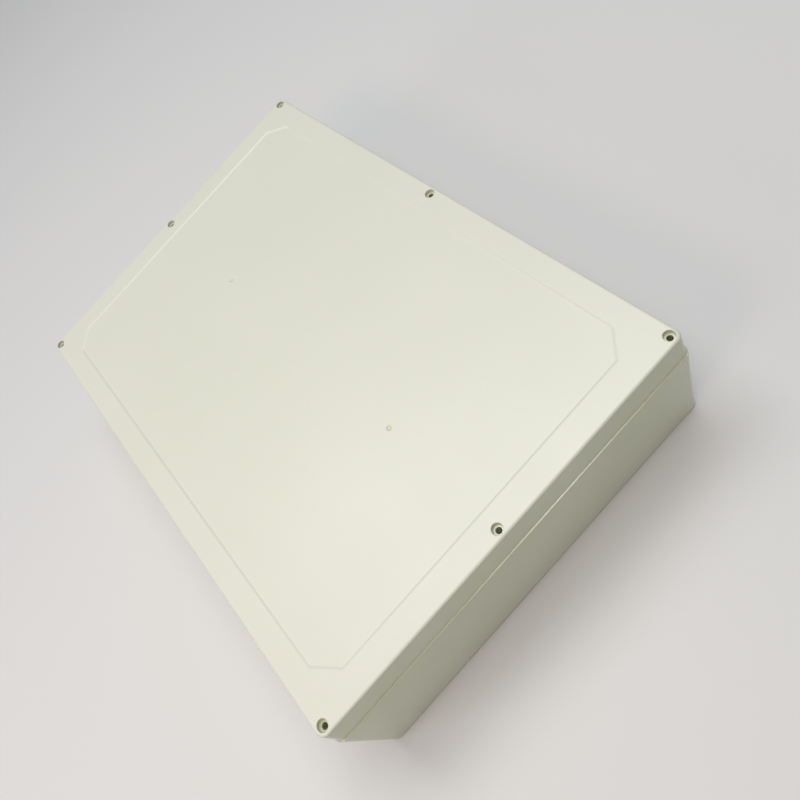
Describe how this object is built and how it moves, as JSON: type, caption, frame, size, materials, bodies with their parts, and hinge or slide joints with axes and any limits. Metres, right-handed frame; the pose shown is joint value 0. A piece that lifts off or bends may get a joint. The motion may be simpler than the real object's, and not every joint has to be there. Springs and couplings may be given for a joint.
{
  "type": "security gate",
  "caption": "Closed wall box that drives a shop security gate: screwed-down lid over mounting plate, power supply, breaker and control board, with cable glands on one end.",
  "frame": {"origin": "centre of the case's back face, which rests on the wall", "axes": "+X along the length, away from the cable glands; +Y across the width; +Z from the back face to the lid"},
  "size_m": [0.479, 0.34, 0.12],
  "materials": {
    "case_plastic": "moulded ABS, ivory, glossy",
    "rubber": "black moulded rubber",
    "zinc_steel": "bright zinc-plated steel",
    "brass": "machined brass",
    "gland_plastic": "grey polyamide",
    "galvanised_sheet": "galvanised sheet steel",
    "breaker_plastic": "light grey thermoset",
    "black_plastic": "black polyamide",
    "terminal_plastic": "grey polyamide",
    "board": "glass-epoxy board with green solder mask",
    "terminal_green": "green polyamide",
    "fuse_glass": "glass tube with plated end caps",
    "can_sleeve": "shrink-sleeved aluminium can",
    "black_aluminium": "black anodised extrusion",
    "component_plastic": "black epoxy moulding",
    "winding_tape": "varnished copper winding under film tape",
    "ferrite": "powdered iron core, coated",
    "film_box": "filled plastic box",
    "relay_plastic": "blue plastic cover",
    "tinned_steel": "tinned sheet steel",
    "lamp_plastic": "tinted epoxy lens",
    "knob_plastic": "dark grey nylon",
    "lead_pvc": "flexible PVC insulation",
    "supply_board": "paper-phenolic board with its wound parts"
  },
  "bodies": {
    "case": {"base_shell": "case_plastic", "lid_gasket": "rubber", "screw_inserts": "brass", "gland_bodies": "gland_plastic", "gland_washers": "rubber", "gland_locknuts": "gland_plastic", "gland_seals": "rubber", "mounting_plate": "galvanised_sheet", "m4_screws": "zinc_steel", "m3_screws": "zinc_steel", "hat_rail": "galvanised_sheet", "breaker_body": "breaker_plastic", "terminal_blocks": "terminal_plastic", "end_stops": "terminal_plastic", "earth_bar": "brass", "toroid_core": "winding_tape", "toroid_pads": "rubber", "toroid_washer": "galvanised_sheet", "toroid_bolt": "zinc_steel", "psu_tray": "galvanised_sheet", "psu_cover": "galvanised_sheet", "psu_board": "supply_board", "psu_terminals": "black_plastic", "control_board": "board", "board_standoffs": "brass", "screw_terminals": "terminal_green", "fuse_holders": "black_plastic", "fuses": "fuse_glass", "reservoir_capacitors": "can_sleeve", "heatsink": "black_aluminium", "power_transistors": "component_plastic", "matching_inductors": "ferrite", "tuning_capacitors": "film_box", "relays": "relay_plastic", "logic_chips": "component_plastic", "receiver_shield": "tinned_steel", "sounder": "black_plastic", "status_lights": "lamp_plastic", "knob_bases": "black_plastic", "switch_bases": "black_plastic", "tamper_bracket": "galvanised_sheet", "tamper_switch": "black_plastic", "mains_leads": "lead_pvc", "supply_leads": "lead_pvc", "signal_leads": "lead_pvc", "lead_saddles": "gland_plastic"},
    "lid": {"lid": "case_plastic", "lid_screws": "zinc_steel", "screw_washers": "rubber"},
    "breaker_lever": {"breaker_toggle": "black_plastic"},
    "knob_1": {"tuning_knob_1": "knob_plastic"},
    "knob_2": {"tuning_knob_2": "knob_plastic"},
    "knob_3": {"tuning_knob_3": "knob_plastic"},
    "mode_lever": {"mode_slider": "knob_plastic"},
    "reset_cap": {"reset_button": "knob_plastic"},
    "tamper_stem": {"tamper_plunger": "knob_plastic"},
    "nut_1": {"gland_nut_1": "gland_plastic"},
    "nut_2": {"gland_nut_2": "gland_plastic"},
    "nut_3": {"gland_nut_3": "gland_plastic"},
    "nut_4": {"gland_nut_4": "gland_plastic"}
  },
  "joints": [
    {"name": "lid_lift", "type": "slide", "parent": "case", "child": "lid", "axis": [0, 0, 1], "range_m": [0, 0.25]},
    {"name": "breaker_switch", "type": "hinge", "parent": "case", "child": "breaker_lever", "pos_m": [-0.15466, -0.09966, 0.081], "axis": [0, 1, 0], "range_deg": [0, 76]},
    {"name": "tune_1", "type": "hinge", "parent": "case", "child": "knob_1", "pos_m": [0.04566, 0.119, 0.0356], "axis": [0, 0, 1], "range_deg": [-135, 135]},
    {"name": "tune_2", "type": "hinge", "parent": "case", "child": "knob_2", "pos_m": [0.06766, 0.119, 0.0356], "axis": [0, 0, 1], "range_deg": [-135, 135]},
    {"name": "tune_3", "type": "hinge", "parent": "case", "child": "knob_3", "pos_m": [0.08966, 0.119, 0.0356], "axis": [0, 0, 1], "range_deg": [-135, 135]},
    {"name": "mode_select", "type": "slide", "parent": "case", "child": "mode_lever", "axis": [1, 0, 0], "range_m": [0, 0.004]},
    {"name": "reset_press", "type": "slide", "parent": "case", "child": "reset_cap", "axis": [0, 0, -1], "range_m": [0, 0.0015], "stiffness_N_per_m": 600, "springref_m": -0.001},
    {"name": "tamper_press", "type": "slide", "parent": "case", "child": "tamper_stem", "axis": [0, 0, -1], "range_m": [0, 0.003], "stiffness_N_per_m": 300, "springref_m": -0.001},
    {"name": "gland_turn_1", "type": "hinge", "parent": "case", "child": "nut_1", "pos_m": [-0.24, -0.11, 0.046], "axis": [-1, 0, 0], "continuous": true},
    {"name": "gland_turn_2", "type": "hinge", "parent": "case", "child": "nut_2", "pos_m": [-0.24, -0.05, 0.046], "axis": [-1, 0, 0], "continuous": true},
    {"name": "gland_turn_3", "type": "hinge", "parent": "case", "child": "nut_3", "pos_m": [-0.24, 0.05, 0.046], "axis": [-1, 0, 0], "continuous": true},
    {"name": "gland_turn_4", "type": "hinge", "parent": "case", "child": "nut_4", "pos_m": [-0.24, 0.11, 0.046], "axis": [-1, 0, 0], "continuous": true}
  ]
}
